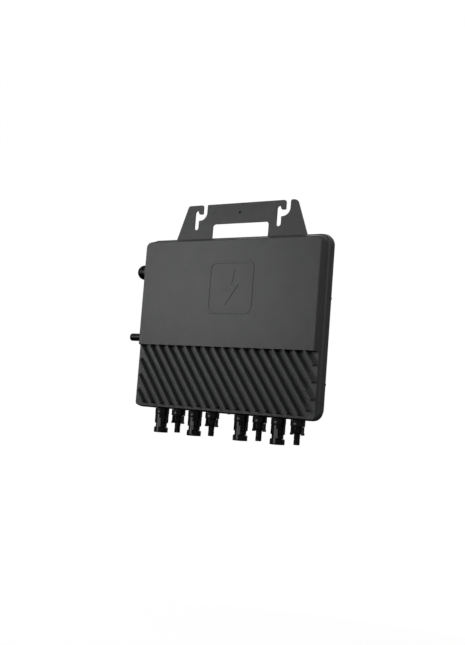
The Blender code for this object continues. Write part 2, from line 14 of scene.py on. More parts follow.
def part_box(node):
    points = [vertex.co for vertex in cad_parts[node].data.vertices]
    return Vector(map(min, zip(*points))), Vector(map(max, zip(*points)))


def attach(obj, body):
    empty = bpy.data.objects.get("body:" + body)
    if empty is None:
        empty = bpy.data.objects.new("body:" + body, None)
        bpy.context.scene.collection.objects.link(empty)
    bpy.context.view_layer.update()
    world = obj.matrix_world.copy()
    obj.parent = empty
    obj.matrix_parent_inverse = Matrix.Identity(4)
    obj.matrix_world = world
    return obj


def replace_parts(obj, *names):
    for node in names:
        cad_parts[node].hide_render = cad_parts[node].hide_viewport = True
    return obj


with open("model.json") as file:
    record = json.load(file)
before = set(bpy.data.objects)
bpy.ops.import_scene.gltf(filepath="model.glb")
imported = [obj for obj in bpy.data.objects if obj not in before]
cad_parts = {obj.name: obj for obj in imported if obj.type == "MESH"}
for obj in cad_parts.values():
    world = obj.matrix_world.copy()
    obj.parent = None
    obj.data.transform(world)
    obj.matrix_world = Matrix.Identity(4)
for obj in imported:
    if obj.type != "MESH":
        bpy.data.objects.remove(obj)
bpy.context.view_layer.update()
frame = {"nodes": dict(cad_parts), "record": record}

# ---------------------------------------------------------------- places read from the frame
case_low, case_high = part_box("front_housing")
bracket_low, bracket_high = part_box("mounting_bracket")
cover_low, cover_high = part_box("rear_cover")
cap_low, cap_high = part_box("ac_port_cap")
stub_low, stub_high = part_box("antenna_stub")

CASE_BOTTOM = case_low.z
CASE_HEIGHT = case_high.z - case_low.z
CASE_HALF = case_high.x
FRONT_Y = case_low.y                # the flat upper front panel
FLANGE_BACK_Y = case_high.y
RIB_PANEL_Y = FRONT_Y + 0.00765     # the recessed panel that carries the cooling ribs
STEP_TOP, STEP_FOOT = 0.0840, 0.0832
PORT_Y = (stub_low.y + stub_high.y) / 2
CONNECTOR_Y = (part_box("dc_pin_1")[0].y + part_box("dc_pin_1")[1].y) / 2

RIB_PITCH = 0.01485                 # along x
RIB_SLOPE = 0.72                    # x moved per unit of height, going down
RIB_ZERO_X = 0.0020                 # where rib number 0 meets the front panel
RIB_FIRST, RIB_LAST = -12, 8
RIB_LEFT_X, RIB_RIGHT_X, RIB_LOW_Z = -0.1304, 0.1318, 0.0084
RIB_CORNER, RIB_CORNER_Z = 5, 0.0140    # the rib that runs into the lower right corner

WALL, CLEAR = 0.003, 0.0003
CAVITY_HALF, CAVITY_LOW, CAVITY_TOP = 0.131, 0.008, 0.214
BOSS_END_X = -0.1402
PORT_BOSS_RADIUS, STUB_BOSS_RADIUS = 0.0090, 0.0058
PORT_NECK_RADIUS, STUB_NECK_RADIUS = 0.0072, 0.0035
PORT_Z = (cap_low.z + cap_high.z) / 2 - CASE_BOTTOM
STUB_Z = (stub_low.z + stub_high.z) / 2 - CASE_BOTTOM
NECK_RADIUS = 0.0046                # of the connectors, where they pass through the case
ARM_OFFSET = 0.0072                 # from a connector's axis to the middle of its latch arm
COLLAR_TOP = -0.0001                # the connectors' collars, just clear of the case
LENS_HOLE_RADIUS = 0.0023
SIDE_DOT_RADIUS, SIDE_DOT_DEPTH = 0.0009, 0.0030
SIDE_DOTS = ((-0.0108, 0.211), (-0.0102, 0.116))        # y and height on the right side
CASE_SCREW_RADIUS, COVER_SCREW_RADIUS = 0.0019, 0.0022
SHELL_TURN = 8                      # degrees by which each connector's front is turned to the right

PLATE_TOP = bracket_high.z - CASE_BOTTOM
MOUTH_LEFT, MOUTH_RIGHT = -0.0636, -0.0567
BAY_LEFT, BAY_RIGHT = -0.0764, -0.0696
SLOT_SHIFT = 0.129                  # from the left hook slot to the right one
WINDOW_LEFT, WINDOW_RIGHT, WINDOW_LOW, WINDOW_TOP = -0.0462, 0.0415, 0.2288, 0.2498
WINDOW_RADIUS = 0.0042
PLATE_FOOT = 0.2145
EARTH_HOLE_X, EARTH_HOLE_Z, EARTH_HOLE_RADIUS = -0.0033, 0.2637, 0.0022
WELD_MARKS = ((-0.0895, 0.2405), (-0.0850, 0.2665), (-0.0468, 0.2660), (0.0150, 0.2695), (0.0795, 0.2350))

EMBLEM_X, EMBLEM_Z, EMBLEM_RELIEF = 0.0076, 0.1606, 0.00055


def middle_of(node):
    low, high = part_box(node)
    return (low + high) / 2


connector_places = []
for pair in range(1, 5):
    connector_places += [middle_of(f"dc_pin_{pair}").x, middle_of(f"dc_contact_{pair}").x]
lens_x = middle_of("status_lens").x
screw_places = [(middle_of(n).x, middle_of(n).z) for n in frame["nodes"] if "screw" in n]


def up(z):
    """World height of a point z above the case's bottom."""
    return CASE_BOTTOM + z


# ---------------------------------------------------------------- camera, floor and light
CAMERA_PLACE = (0.6413, -0.9680, up(0.0197))
CAMERA_AZIMUTH, CAMERA_PITCH, CAMERA_ROLL = 33.68, 4.85, 4.38
FLOOR_Z = CASE_BOTTOM - 0.60
BACKDROP_GLOW = 1.0


def add_camera():
    bpy.context.scene.view_settings.view_transform = "Standard"
    data = bpy.data.cameras.new("camera")
    data.lens = 50
    data.sensor_width = 36
    camera = bpy.data.objects.new("camera", data)
    bpy.context.scene.collection.objects.link(camera)
    turn = Matrix.Rotation(math.radians(CAMERA_AZIMUTH), 4, "Z")
    tilt = Matrix.Rotation(math.radians(90 + CAMERA_PITCH), 4, "X")
    roll = Matrix.Rotation(math.radians(CAMERA_ROLL), 4, "Z")
    camera.matrix_world = Matrix.Translation(CAMERA_PLACE) @ turn @ tilt @ roll
    bpy.context.scene.camera = camera


def add_area_light(name, place, target, size, watts):
    data = bpy.data.lights.new(name, "AREA")
    data.shape = "RECTANGLE"
    data.size, data.size_y = size
    data.energy = watts
    light = bpy.data.objects.new(name, data)
    light.location = place
    light.rotation_euler = (Vector(target) - Vector(place)).to_track_quat("-Z", "Y").to_euler()
    light.visible_camera = False
    bpy.context.scene.collection.objects.link(light)


def add_lights():
    middle = (0.0, FRONT_Y, up(0.11))
    add_area_light("key", (-0.42, -0.60, up(0.24)), middle, (0.35, 0.35), 1.75)
    add_area_light("front", (0.25, -1.70, up(0.92)), middle, (0.5, 0.5), 4.2)
    add_area_light("right_soft", (1.35, -0.45, up(0.75)), middle, (0.8, 1.0), 3.6)
    add_area_light("rear_fill", (-0.4, 1.8, up(0.9)), middle, (1.6, 1.2), 10)


def add_stage():
    """A pale sweep: a round floor that curves up into a backdrop on every side."""
    bm = bmesh.new()
    sides, radius, bend = 96, 3.2, 1.2
    profile = [(radius * 0.5, 0.0), (radius, 0.0)]
    steps = 16
    for i in range(1, steps + 1):
        a = math.pi / 2 * i / steps
        profile.append((radius + bend * math.sin(a), bend * (1 - math.cos(a))))
    profile.append((radius + bend, 6.0))
    rings = []
    for r, z in profile:
        ring = []
        for i in range(sides):
            a = 2 * math.pi * i / sides
            ring.append(bm.verts.new((r * math.cos(a), r * math.sin(a), FLOOR_Z + z)))
        rings.append(ring)
    bm.faces.new(rings[0])
    for low, high in zip(rings, rings[1:]):
        for i in range(sides):
            j = (i + 1) % sides
            bm.faces.new((low[i], low[j], high[j], high[i]))
    data = bpy.data.meshes.new("studio_sweep")
    bm.to_mesh(data)
    bm.free()
    data.shade_smooth()
    sweep = bpy.data.objects.new("studio_sweep", data)
    bpy.context.scene.collection.objects.link(sweep)
    sweep.visible_diffuse = False
    sweep.visible_glossy = False
    sweep.visible_shadow = False
    sweep.data.materials.append(stage_material())

    add_dome()


def add_dome():
    """A soft dome of light that fades out below the horizon, as over a studio table."""
    world = bpy.data.worlds.new("studio_dome")
    world.use_nodes = True
    tree = world.node_tree
    background = tree.nodes["Background"]
    background.inputs["Color"].default_value = (1.0, 1.0, 1.0, 1.0)
    direction = tree.nodes.new("ShaderNodeTexCoord")
    split = tree.nodes.new("ShaderNodeSeparateXYZ")
    fade = tree.nodes.new("ShaderNodeMapRange")
    fade.interpolation_type = "SMOOTHSTEP"
    fade.inputs["From Min"].default_value = -0.30
    fade.inputs["From Max"].default_value = 0.25
    fade.inputs["To Min"].default_value = 0.03
    fade.inputs["To Max"].default_value = 0.26
    tree.links.new(direction.outputs["Generated"], split.inputs["Vector"])
    tree.links.new(split.outputs["Z"], fade.inputs["Value"])
    tree.links.new(fade.outputs["Result"], background.inputs["Strength"])
    bpy.context.scene.world = world


# ---------------------------------------------------------------- materials
class Nodes:
    """A small helper that adds and links shader nodes."""

    def __init__(self, name, base=None, roughness=0.5, metallic=0.0):
        self.material = bpy.data.materials.new(name)
        self.material.use_nodes = True
        self.tree = self.material.node_tree
        self.shader = self.tree.nodes["Principled BSDF"]
        if base:
            self.shader.inputs["Base Color"].default_value = (*base, 1.0)
        self.shader.inputs["Roughness"].default_value = roughness
        self.shader.inputs["Metallic"].default_value = metallic

    def add(self, kind):
        return self.tree.nodes.new(kind)

    def link(self, source, target):
        self.tree.links.new(source, target)

    def place(self):
        """Object coordinates, in metres."""
        return self.add("ShaderNodeTexCoord").outputs["Object"]

    def noise(self, scale, detail=2.0, rough=0.5):
        node = self.add("ShaderNodeTexNoise")
        node.inputs["Scale"].default_value = scale
        node.inputs["Detail"].default_value = detail
        node.inputs["Roughness"].default_value = rough
        self.link(self.place(), node.inputs["Vector"])
        return node.outputs["Fac"]

    def spread(self, value, low, high, to_low=0.0, to_high=1.0):
        node = self.add("ShaderNodeMapRange")
        node.inputs["From Min"].default_value = low
        node.inputs["From Max"].default_value = high
        node.inputs["To Min"].default_value = to_low
        node.inputs["To Max"].default_value = to_high
        self.link(value, node.inputs["Value"])
        return node.outputs["Result"]

    def colour_between(self, value, dark, light):
        node = self.add("ShaderNodeValToRGB")
        node.color_ramp.elements[0].color = (*dark, 1.0)
        node.color_ramp.elements[1].color = (*light, 1.0)
        self.link(value, node.inputs["Fac"])
        self.link(node.outputs["Color"], self.shader.inputs["Base Color"])

    def bump(self, value, distance, strength=1.0):
        node = self.add("ShaderNodeBump")
        node.inputs["Distance"].default_value = distance
        node.inputs["Strength"].default_value = strength
        self.link(value, node.inputs["Height"])
        self.link(node.outputs["Normal"], self.shader.inputs["Normal"])


def stage_material():
    made = Nodes("studio_white", (0.05, 0.05, 0.05), 1.0)
    tint = made.spread(made.noise(0.6), 0.3, 0.7, 0.985, 1.0)
    made.link(tint, made.shader.inputs["Emission Color"])
    made.shader.inputs["Emission Strength"].default_value = BACKDROP_GLOW
    return made.material


def powder_coat(name, dark, light, roughness=0.46):
    """Fine-textured satin powder coat: a tight orange peel, a slight sparkle and uneven sheen."""
    made = Nodes(name, None, roughness)
    made.shader.inputs["Specular IOR Level"].default_value = 0.5
    cloud = made.noise(38.0, 3.0)
    made.colour_between(made.spread(cloud, 0.30, 0.70), dark, light)
    grain = made.noise(2600.0, 2.0, 0.6)
    sheen = made.spread(grain, 0.30, 0.70, roughness - 0.07, roughness + 0.09)
    made.link(sheen, made.shader.inputs["Roughness"])
    made.bump(grain, 0.00006, 0.55)
    return made.material


def moulded_plastic(name, dark, light, roughness=0.34, specular=0.5):
    """Satin black moulding with a faint spark-eroded grain and handling marks."""
    made = Nodes(name, None, roughness)
    made.shader.inputs["Specular IOR Level"].default_value = specular
    cloud = made.noise(240.0, 3.0)
    made.colour_between(made.spread(cloud, 0.30, 0.70), dark, light)
    grain = made.noise(4200.0, 1.0)
    wipe = made.noise(90.0, 4.0)
    sheen = made.spread(wipe, 0.30, 0.75, roughness - 0.06, roughness + 0.12)
    made.link(sheen, made.shader.inputs["Roughness"])
    made.bump(grain, 0.00002, 0.35)
    return made.material


def metal(name, dark, light, roughness, scale=900.0):
    """Bare or plated metal with fine turning marks and slight staining."""
    made = Nodes(name, None, roughness, 1.0)
    made.colour_between(made.spread(made.noise(160.0, 4.0), 0.30, 0.70), dark, light)
    grain = made.noise(scale, 3.0, 0.6)
    sheen = made.spread(grain, 0.3, 0.7, roughness - 0.08, roughness + 0.1)
    made.link(sheen, made.shader.inputs["Roughness"])
    made.bump(grain, 0.00001, 0.3)
    return made.material


def clear_lens():
    made = Nodes("lens_plastic", None, 0.12)
    made.colour_between(made.spread(made.noise(300.0), 0.3, 0.7), (0.60, 0.65, 0.63), (0.78, 0.82, 0.80))
    made.shader.inputs["Transmission Weight"].default_value = 0.6
    return made.material


# ---------------------------------------------------------------- mesh helpers
def add_object(name, data):
    obj = bpy.data.objects.new(name, data)
    bpy.context.scene.collection.objects.link(obj)
    return obj


def finished(name, bm, smooth_angle=38):
    bmesh.ops.recalc_face_normals(bm, faces=bm.faces)
    data = bpy.data.meshes.new(name)
    bm.to_mesh(data)
    bm.free()
    data.shade_smooth()
    data.set_sharp_from_angle(angle=math.radians(smooth_angle))
    return data


def bake(obj):
    """Replaces an object's mesh by what its modifiers make of it."""
    graph = bpy.context.evaluated_depsgraph_get()
    data = bpy.data.meshes.new_from_object(obj.evaluated_get(graph))
    obj.modifiers.clear()
    obj.data = data
    return obj


def combine(obj, tools, operation="DIFFERENCE"):
    """Cuts the tool meshes out of obj, or adds them to it, and removes the tools."""
    bm = bmesh.new()
    for data in tools:
        bm.from_mesh(data)
        bpy.data.meshes.remove(data)
    tool = add_object("tool", finished("tool", bm))
    modifier = obj.modifiers.new("combine", "BOOLEAN")
    modifier.operation = operation
    modifier.object = tool
    bake(obj)
    bpy.data.objects.remove(tool)
    return obj


def shade(obj, smooth_angle=38):
    """Smooth shading that keeps flat faces flat and sharp edges sharp."""
    obj.data.shade_smooth()
    obj.data.set_sharp_from_angle(angle=math.radians(smooth_angle))
    weighted = obj.modifiers.new("flat_faces_first", "WEIGHTED_NORMAL")
    weighted.keep_sharp = True
    weighted.weight = 100
    return obj


def bevel_sharp(obj, width, segments=3, angle=28, keep=None):
    """Rounds the edges sharper than an angle; keep chooses among them by their middle point."""
    bm = bmesh.new()
    bm.from_mesh(obj.data)
    bmesh.ops.dissolve_limit(bm, angle_limit=math.radians(0.5), verts=bm.verts, edges=bm.edges)
    chosen = []
    for edge in bm.edges:
        if len(edge.link_faces) != 2 or edge.calc_face_angle(0) < math.radians(angle):
            continue
        middle = (edge.verts[0].co + edge.verts[1].co) / 2
        if keep is None or keep(middle):
            chosen.append(edge)
    bmesh.ops.bevel(bm, geom=chosen, offset=width, segments=segments, profile=0.5, affect="EDGES",
                    clamp_overlap=True)
    bm.to_mesh(obj.data)
    bm.free()
    return obj


def loft(name, rings, smooth_angle=38):
    bm = bmesh.new()
    loops = [[bm.verts.new(p) for p in ring] for ring in rings]
    count = len(loops[0])
    for low, high in zip(loops, loops[1:]):
        for i in range(count):
            j = (i + 1) % count
            bm.faces.new((low[i], low[j], high[j], high[i]))
    bm.faces.new(loops[0])
    bm.faces.new(reversed(loops[-1]))
    return finished(name, bm, smooth_angle)


def rounded_outline(left, right, low, high, radius, y, steps=12, low_radius=None):
    """Points round a rectangle with round corners, in the plane at this y."""
    foot = low_radius or radius
    centres = [
        (right - radius, high - radius, 0, radius),
        (left + radius, high - radius, 90, radius),
        (left + foot, low + foot, 180, foot),
        (right - foot, low + foot, 270, foot),
    ]
    points = []
    for cx, cz, start, size in centres:
        for i in range(steps + 1):
            a = math.radians(start + 90 * i / steps)
            points.append((cx + size * math.cos(a), y, cz + size * math.sin(a)))
    return points


def softened(points, reach, steps=4):
    """A polyline whose inner corners are replaced by short quadratic curves."""
    points = [Vector(p) for p in points]
    made = [points[0]]
    for before, corner, after in zip(points, points[1:], points[2:]):
        back = min(reach, (before - corner).length * 0.45)
        ahead = min(reach, (after - corner).length * 0.45)
        start = corner + (before - corner).normalized() * back
        end = corner + (after - corner).normalized() * ahead
        for i in range(steps + 1):
            t = i / steps
            made.append(start * (1 - t) ** 2 + corner * 2 * t * (1 - t) + end * t ** 2)
    made.append(points[-1])
    return made


def turned(name, profile, axis="z", steps=48, smooth_angle=38):
    """A turned solid from a closed loop of (radius, height); radius 0 lies on the axis."""
    bm = bmesh.new()
    columns = []
    for radius, height in profile:
        if radius == 0:
            columns.append([bm.verts.new((0, 0, height))])
            continue
        columns.append([bm.verts.new((radius * math.cos(2 * math.pi * i / steps),
                                      radius * math.sin(2 * math.pi * i / steps), height))
                        for i in range(steps)])
    for one, two in zip(columns, columns[1:] + columns[:1]):
        if len(one) == 1 and len(two) == 1:
            continue
        for i in range(steps):
            j = (i + 1) % steps
            corners = [one[i % len(one)], one[j % len(one)], two[j % len(two)], two[i % len(two)]]
            bm.faces.new(list(dict.fromkeys(corners)))
    if axis == "x":
        bmesh.ops.rotate(bm, verts=bm.verts, cent=(0, 0, 0), matrix=Matrix.Rotation(math.pi / 2, 3, "Y"))
    if axis == "y":
        bmesh.ops.rotate(bm, verts=bm.verts, cent=(0, 0, 0), matrix=Matrix.Rotation(-math.pi / 2, 3, "X"))
    return finished(name, bm, smooth_angle)


def moved(data, offset):
    data.transform(Matrix.Translation(offset))
    return data


def rod(radius, start, end, axis="z", steps=40):
    return turned("rod", [(0, start), (radius, start), (radius, end), (0, end)], axis, steps)


# ---------------------------------------------------------------- the die-cast case
def case_ring(y, side, top, bottom, radius, low_radius):
    half = CASE_HALF - side
    return rounded_outline(-half, half, up(bottom), up(CASE_HEIGHT - top), radius, y, low_radius=low_radius)


def case_shell():
    """The outer form, from the flange to the front panel, with softened corners in its side profile."""
    keys = [
        (FLANGE_BACK_Y, 0.0006, 0.0006, 0.0006, 0.0144, 0.0120),
        (-0.0062, 0.0000, 0.0000, 0.0000, 0.0150, 0.0125),
        (-0.0144, 0.0010, 0.0012, 0.0000, 0.0140, 0.0115),
        (-0.0165, 0.0027, 0.0030, 0.0002, 0.0120, 0.0080),
        (-0.0210, 0.0033, 0.0040, 0.0020, 0.0100, 0.0042),
        (-0.0280, 0.0058, 0.0064, 0.0050, 0.0070, 0.0042),
        (FRONT_Y, 0.0066, 0.0073, 0.0056, 0.0062, 0.0040),
    ]
    rows = softened(keys, 0.0007)
    return add_object("housing", loft("housing", [case_ring(*row) for row in rows]))


def rib_spans():
    """Start and end of each rib's centre line, as (x, height) pairs."""
    for index in range(RIB_FIRST, RIB_LAST + 1):
        x_at_step = RIB_ZERO_X + index * RIB_PITCH

        def height_at(x):
            return STEP_TOP - (x - x_at_step) / RIB_SLOPE

        starts_at_step = x_at_step > RIB_LEFT_X
        z_top = STEP_TOP + 0.002 if starts_at_step else height_at(RIB_LEFT_X)
        z_end = RIB_CORNER_Z if index == RIB_CORNER else max(RIB_LOW_Z, height_at(RIB_RIGHT_X))
        x_top = x_at_step + RIB_SLOPE * (STEP_TOP - z_top)
        x_end = x_at_step + RIB_SLOPE * (STEP_TOP - z_end)
        yield (x_top, z_top), (x_end, z_end)


RIB_LOW_REACH, RIB_END_TAPER = 0.0027, 0.87     # how far the outline runs past the lower end
RIB_CONTOURS = [            # half width, height, and how far the outline runs past the upper end
    (0.0031, -0.00025, 0.0032), (0.0027, 0.00002, 0.0030), (0.0023, 0.0003, 0.0027), (0.0020, 0.0008, 0.0024),
    (0.0018, 0.0016, 0.0021), (0.0016, 0.0035, 0.0014), (0.0014, 0.0055, 0.0007), (0.0012, 0.0068, 0.0002),
    (0.0010, 0.0073, 0.0), (0.0007, 0.00758, 0.0), (0.0003, 0.00763, 0.0),
]


def rib_solid(start, end):
    """A rib as stacked contours: each is the outline at one distance from the rib's centre line."""
    a = Vector((start[0], 0, up(start[1])))
    b = Vector((end[0], 0, up(end[1])))
    along = (b - a).normalized()
    across = Vector((-along.z, 0, along.x))
    steps = 10
    rings = []
    for half, height, reach in RIB_CONTOURS:
        ring = []
        low_reach = RIB_LOW_REACH - half * RIB_END_TAPER
        for centre, sign, past in ((b, 1, low_reach), (a, -1, reach)):
            for i in range(steps + 1):
                t = math.pi * i / steps
                offset = across * math.cos(t) * half + along * (math.sin(t) * half + past)
                ring.append(centre + offset * sign + Vector((0, RIB_PANEL_Y - height, 0)))
        rings.append(ring)
    return loft("rib", rings)


def housing():
    shell = case_shell()
    far = CASE_HALF + 0.02
    proud = FRONT_Y - 0.002
    recess = [
        (proud, STEP_TOP + 0.001), (FRONT_Y, STEP_TOP), (RIB_PANEL_Y, STEP_FOOT), (RIB_PANEL_Y, -0.01),
        (proud, -0.01),
    ]
    rings = [[(x, y, up(z)) for y, z in recess] for x in (-far, far)]
    combine(shell, [loft("recess", rings)])
    bevel_sharp(shell, 0.0004, 3, 25, lambda p: p.y < -0.019)
    combine(shell, [rib_solid(start, end) for start, end in rib_spans()], "UNION")

    open_end = FLANGE_BACK_Y + 0.003
    cavities = []
    for low, high, front in ((0.0875, CAVITY_TOP, FRONT_Y + WALL), (CAVITY_LOW, 0.095, RIB_PANEL_Y + WALL)):
        cavities.append([rounded_outline(-CAVITY_HALF, CAVITY_HALF, up(low), up(high), 0.006, y, 6)
                         for y in (front, open_end)])
    for rings in cavities:
        combine(shell, [loft("cavity", rings)])
    bosses = [moved(rod(radius, BOSS_END_X, -CAVITY_HALF - 0.001, "x"), (0, PORT_Y, up(z)))
              for radius, z in ((PORT_BOSS_RADIUS, PORT_Z), (STUB_BOSS_RADIUS, STUB_Z))]
    combine(shell, bosses, "UNION")
    below, above = CASE_BOTTOM - 0.004, up(0.012)       # either side of the bottom wall
    outside, inside = -0.150, -0.125                    # either side of the left wall
    holes = [moved(rod(NECK_RADIUS + CLEAR, below, above), (x, CONNECTOR_Y, 0)) for x in connector_places]
    for radius, z in ((PORT_NECK_RADIUS, PORT_Z), (STUB_NECK_RADIUS, STUB_Z)):
        holes.append(moved(rod(radius + CLEAR, outside, inside, "x"), (0, PORT_Y, up(z))))
    holes.append(moved(rod(LENS_HOLE_RADIUS, below, above, steps=20), (lens_x, CONNECTOR_Y, 0)))
    for y, z in SIDE_DOTS:
        dot = rod(SIDE_DOT_RADIUS, CASE_HALF - SIDE_DOT_DEPTH, CASE_HALF + 0.002, "x", 16)
        holes.append(moved(dot, (0, y, up(z))))
    for x, z in screw_places:
        holes.append(moved(rod(CASE_SCREW_RADIUS, -0.0118, 0.0, "y", 16), (x, 0, z)))
    combine(shell, holes)
    shade(shell)
    place_piece(shell, "front_housing")


def ring_of(name, rings, smooth_angle=38):
    """A closed tube through a loop of rings, each joined to the next and the last to the first."""
    bm = bmesh.new()
    loops = [[bm.verts.new(p) for p in ring] for ring in rings]
    count = len(loops[0])
    for one, two in zip(loops, loops[1:] + loops[:1]):
        for i in range(count):
            j = (i + 1) % count
            bm.faces.new((one[i], one[j], two[j], two[i]))
    return finished(name, bm, smooth_angle)


def emblem():
    """A plain badge in low relief: a rounded square with a lightning bolt in it."""
    middle_x, middle_z = EMBLEM_X, up(EMBLEM_Z)
    root, crest = FRONT_Y + 0.0003, FRONT_Y - EMBLEM_RELIEF

    def square(half, y):
        outline = rounded_outline(-half, half, -half, half, half * 0.28, 0)
        return [(middle_x + x, y, middle_z + z) for x, _, z in outline]

    badge = add_object("badge", ring_of("badge", [
        square(0.0345, root), square(0.0342, crest + 0.0001), square(0.0340, crest),
        square(0.0312, crest), square(0.0310, crest + 0.0001), square(0.0307, root),
    ]))
    bolt = [(0.0062, 0.0235), (-0.0125, -0.0035), (-0.0022, -0.0035), (-0.0062, -0.0235), (0.0125, 0.0035),
            (0.0022, 0.0035)]
    rows = [(1.0, root), (0.995, crest + 0.0001), (0.985, crest)]
    rings = [[(middle_x + x * size, y, middle_z + z * size) for x, z in bolt] for size, y in rows]
    mark = add_object("badge_bolt", loft("badge_bolt", rings))
    for piece in (badge, mark):
        shade(piece)
        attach(piece, "case")
        paint(piece, "case_paint")


# ---------------------------------------------------------------- hanging bracket
def arc(cx, cz, radius, start, end, steps):
    """Points (x, height) on an arc from one angle to another, in degrees."""
    turns = [math.radians(start + (end - start) * i / steps) for i in range(steps + 1)]
    return [(cx + radius * math.cos(a), cz + radius * math.sin(a)) for a in turns]


def slot_outline():
    above = PLATE_TOP + 0.003
    points = [(MOUTH_RIGHT, above)]
    points += arc(MOUTH_RIGHT - 0.01085, 0.2667, 0.01085, -5, -85, 20)
    points += [(BAY_RIGHT, 0.2556)]
    points += arc((BAY_LEFT + BAY_RIGHT) / 2, 0.2464, (BAY_RIGHT - BAY_LEFT) / 2, 0, -180, 24)
    points += arc(BAY_LEFT + 0.0034, 0.2660, 0.0034, 180, 60, 12)
    points += arc(-0.0655, 0.2690, 0.0056, 190, 235, 8)
    points += arc(MOUTH_LEFT - 0.0008, 0.2653, 0.0008, -90, 0, 6)
    points += [(MOUTH_LEFT, above)]
    return points


def plate_outline():
    top = PLATE_TOP
    corner = top - 0.005
    mouth_left, mouth_right = MOUTH_LEFT + SLOT_SHIFT, MOUTH_RIGHT + SLOT_SHIFT
    points = [(-0.1083, 0.2185), (-0.1047, 0.2292)]
    points += arc(-0.0850, top - 0.0040, 0.0040, 160, 90, 10)
    points += arc(MOUTH_LEFT - 0.0026, top - 0.0026, 0.0026, 90, 0, 8)
    points += [(MOUTH_LEFT, corner), (MOUTH_RIGHT, corner)]
    points += arc(MOUTH_RIGHT + 0.0010, top - 0.0010, 0.0010, 180, 90, 6)
    points += arc(mouth_left - 0.0032, top - 0.0032, 0.0032, 90, 0, 8)
    points += [(mouth_left, corner), (mouth_right, corner)]
    points += arc(mouth_right + 0.0022, top - 0.0022, 0.0022, 180, 90, 8)
    points += arc(0.0773, top - 0.0065, 0.0065, 80, 20, 10)
    points += [(0.0996, 0.2292), (0.1032, 0.2185), (0.0996, PLATE_FOOT), (-0.1047, PLATE_FOOT)]
    return points


def sheet(name, outline, front, back):
    return loft(name, [[(x, y, up(z)) for x, z in outline] for y in (front, back)])


def bracket():
    front, back = bracket_low.y, bracket_high.y
    plate = add_object("bracket", sheet("bracket", plate_outline(), front, back))
    reach = (front - 0.002, back + 0.002)
    left = slot_outline()
    right = [(x + SLOT_SHIFT, z) for x, z in left]
    window = [(x, z) for x, _, z in rounded_outline(WINDOW_LEFT, WINDOW_RIGHT, WINDOW_LOW, WINDOW_TOP,
                                                    WINDOW_RADIUS, 0)]
    combine(plate, [sheet("opening", outline, *reach) for outline in (left, right, window)])
    bevel_sharp(plate, 0.00022, 2, 60)
    earth_hole = rod(EARTH_HOLE_RADIUS, front - 0.002, back - 0.0004, "y", 32)
    holes = [moved(earth_hole, (EARTH_HOLE_X, 0, up(EARTH_HOLE_Z)))]
    holes += [moved(rod(COVER_SCREW_RADIUS, *reach, "y", 24), (x, 0, z))
              for x, z in screw_places if z > up(PLATE_FOOT)]
    combine(plate, holes)
    shade(plate)
    place_piece(plate, "mounting_bracket")
    rim = [(0.0, front - 0.00003), (0.0012, front - 0.00003), (0.0017, front - 0.00012),
           (0.0021, front - 0.00012), (0.0025, front + 0.0002), (0.0, front + 0.0002)]
    for x, z in WELD_MARKS:
        mark = add_object("weld_mark", moved(turned("weld_mark", rim, "y", 28), (x, 0, up(z))))
        shade(mark)
        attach(mark, "case")
        paint(mark, "bracket_paint")


# ---------------------------------------------------------------- connectors
def polar_box(angle, inner, outer, half_width, low, high):
    """A box that stands off the z axis in the direction of an angle, measured from the front."""
    corners = [(-half_width, -inner), (half_width, -inner), (half_width, -outer), (-half_width, -outer)]
    rings = [[(x, y, z) for x, y in corners] for z in (low, high)]
    data = loft("block", rings)
    data.transform(Matrix.Rotation(math.radians(angle), 4, "Z"))
    return data


def bar(x, half_width, front, back, low, high):
    """A bar with softened front edges along the connector's front side."""
    soft = min(half_width, 0.0006)
    rows = [(low, soft), (low + 0.0004, 0.0), (high - 0.0004, 0.0), (high, soft)]
    rings = []
    for z, cut in rows:
        shoulder = front + soft * 0.6 + cut * 0.5
        face = front + cut * 0.5
        rings.append([(x - half_width, back, z), (x - half_width, shoulder, z),
                      (x - half_width * 0.5, face, z), (x + half_width * 0.5, face, z),
                      (x + half_width, shoulder, z), (x + half_width, back, z)])
    return loft("bar", rings)


def socket_shell(number, x):
    top, tip = COLLAR_TOP, -0.0320
    profile = [
        (0.0022, 0.0110), (0.0043, 0.0110), (NECK_RADIUS, 0.0107), (NECK_RADIUS, top), (0.0093, top),
        (0.0093, -0.0072), (0.0090, -0.0076), (0.0090, -0.0188), (0.0087, -0.0194),
        (0.0074, -0.0200), (0.0074, -0.0244), (0.0088, -0.0250), (0.0093, -0.0256), (0.0093, tip + 0.0005),
        (0.0091, tip + 0.0001), (0.0087, tip), (0.0065, tip), (0.0062, tip + 0.0003), (0.0062, -0.0150),
        (0.0022, -0.0150),
    ]
    shell = add_object(f"socket_{number}", turned("socket", profile, "z", 64, 30))
    windows = [polar_box(SHELL_TURN + angle, 0.0069, 0.0112, 0.0028, -0.0186, -0.0080) for angle in (-44, 44)]
    windows += [polar_box(angle, 0.0080, 0.0112, 0.0030, -0.0186, -0.0098) for angle in (-90, 90)]
    combine(shell, windows)
    bevel_sharp(shell, 0.00015, 1, 50, lambda p: -0.0197 < p.z < -0.0075)
    shell.data.transform(Matrix.Translation((x, CONNECTOR_Y, CASE_BOTTOM)))
    shade(shell, 32)
    place_piece(shell, f"dc_socket_{number}")
    for word, turn, data in (
        ("tongue", SHELL_TURN, bar(0.0, 0.0012, -0.0097, -0.0072, -0.0306, -0.0084)),
        ("rib", SHELL_TURN + 15, bar(0.0, 0.0010, -0.0095, -0.0072, -0.0240, -0.0132)),
    ):
        data.transform(Matrix.Rotation(math.radians(turn), 4, "Z"))
        strip = add_object(f"socket_{word}_{number}", data)
        strip.data.transform(Matrix.Translation((x, CONNECTOR_Y, CASE_BOTTOM)))
        # the strip's pale tone is a painted highlight, not a lighter plastic
        paint_pale_highlight(strip)
    boss(f"socket_boss_{number}", x)


